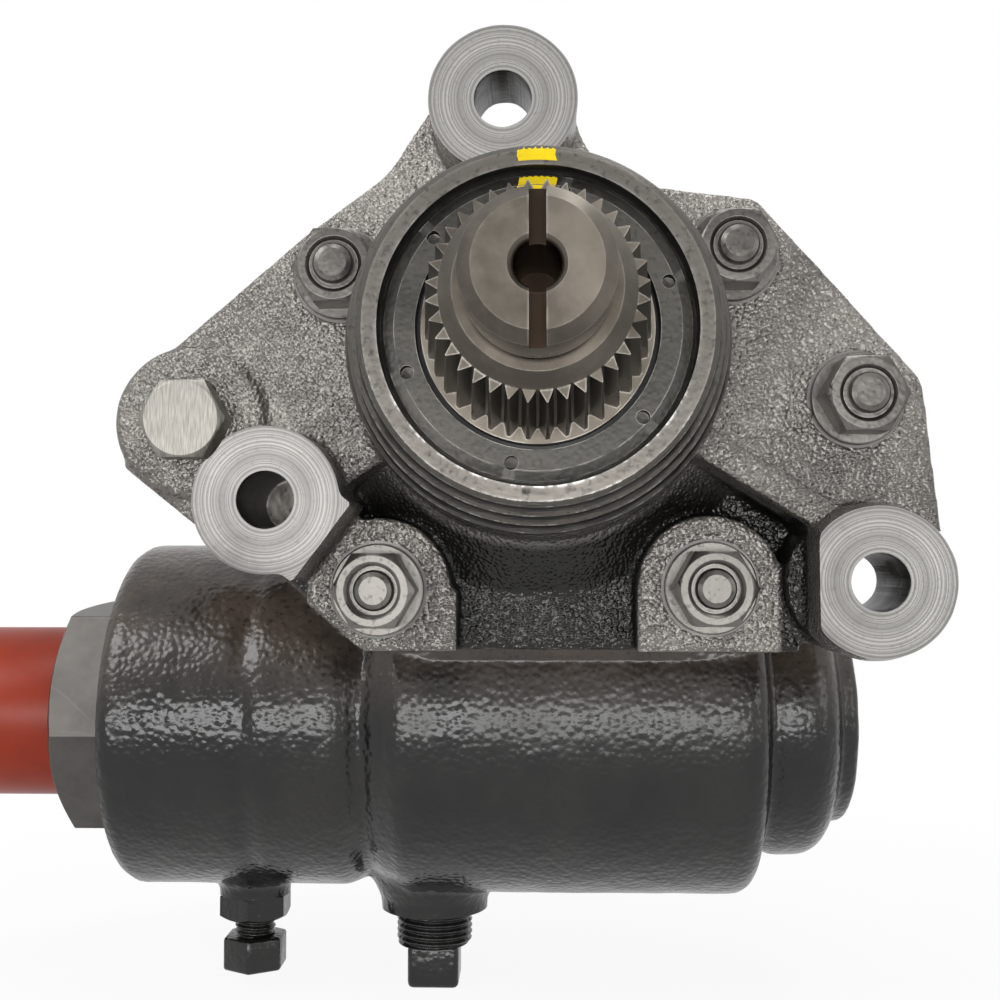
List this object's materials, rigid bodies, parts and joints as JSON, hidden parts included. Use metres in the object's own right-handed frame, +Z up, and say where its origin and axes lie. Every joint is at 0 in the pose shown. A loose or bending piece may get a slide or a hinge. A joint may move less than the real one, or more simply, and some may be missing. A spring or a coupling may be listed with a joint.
{
  "type": "steering gearbox",
  "caption": "Recirculating-ball steering gear with a horizontal cylinder, a cast cover with mounting feet, a tapered serrated output shaft and a capped input end.",
  "frame": {"origin": "on the output shaft's axis, in the plane of the mounting feet", "axes": "+X along the cylinder away from the input end, +Y along the output shaft from its front nose to the back, +Z up"},
  "size_m": [0.2913, 0.233, 0.2525],
  "materials": {
    "housing_paint": "black paint with an oily gloss over a pebbled casting",
    "cover_iron": "oiled grey casting with machined foot faces",
    "gasket_paper": "matt sheet",
    "stud_steel": "worn, dull",
    "washer_steel": "worn, dull",
    "nut_steel": "phosphated, oily",
    "bolt_steel": "bright, brushed on its head",
    "bearing_steel": "polished",
    "seal_rubber": "satin",
    "retainer_steel": "dark phosphate",
    "plug_steel": "satin steel",
    "fitting_paint": "black paint",
    "shaft_steel": "machined, light oil film",
    "ground_steel": "ground",
    "ring_plastic": "smooth",
    "cap_plastic": "satin orange-red"
  },
  "bodies": {
    "housing": {"main_housing": "housing_paint", "front_cover": "cover_iron", "cover_gasket": "gasket_paper", "cover_studs": "stud_steel", "cover_washers": "washer_steel", "cover_nuts": "nut_steel", "cover_bolt": "bolt_steel", "front_bearing_shell": "bearing_steel", "front_bearing_rollers": "bearing_steel", "output_seal": "seal_rubber", "seal_retainer": "retainer_steel", "rear_bearing_shell": "bearing_steel", "rear_bearing_rollers": "bearing_steel", "adjuster_screw": "nut_steel", "adjuster_lock_nut": "nut_steel", "end_cover": "housing_paint", "end_plug": "plug_steel", "end_plug_ring": "seal_rubber", "input_seal": "seal_rubber", "worm_bearing_outer": "bearing_steel", "worm_bearing_balls": "bearing_steel", "limit_screw": "fitting_paint", "limit_lock_nut": "fitting_paint", "pipe_plug": "fitting_paint"},
    "sector": {"sector_shaft": "shaft_steel", "adjuster_collar": "nut_steel"},
    "rack": {"rack_piston": "ground_steel", "piston_ring": "ring_plastic", "track_balls": "bearing_steel", "ball_return": "ground_steel"},
    "worm": {"worm_shaft": "ground_steel", "worm_bearing_inner": "bearing_steel", "valve_sleeve": "ground_steel"},
    "stub": {"input_shaft": "shaft_steel", "torsion_bar": "ground_steel", "torsion_pin": "ground_steel"},
    "cap": {"input_cap": "cap_plastic"}
  },
  "joints": [
    {"name": "sector_turn", "type": "hinge", "parent": "housing", "child": "sector", "pos_m": [0, 0, 0], "axis": [0, -1, 0], "range_deg": [-26.99, 26.99]},
    {"name": "rack_slide", "type": "slide", "parent": "housing", "child": "rack", "axis": [1, 0, 0], "range_m": [-0.0285, 0.0285]},
    {"name": "worm_turn", "type": "hinge", "parent": "housing", "child": "worm", "pos_m": [0, 0.088, -0.096], "axis": [-1, 0, 0], "range_deg": [-642, 642]},
    {"name": "valve_twist", "type": "hinge", "parent": "worm", "child": "stub", "pos_m": [0, 0.088, -0.096], "axis": [-1, 0, 0], "range_deg": [-4, 4], "stiffness_Nm_per_rad": 55},
    {"name": "cap_pull", "type": "slide", "parent": "housing", "child": "cap", "axis": [-1, 0, 0], "range_m": [0, 0.06]}
  ],
  "couplings": [
    {"joint": "rack_slide", "follows": "sector_turn", "m_per_rad": 0.0605},
    {"joint": "worm_turn", "follows": "sector_turn", "ratio": 23.758}
  ]
}
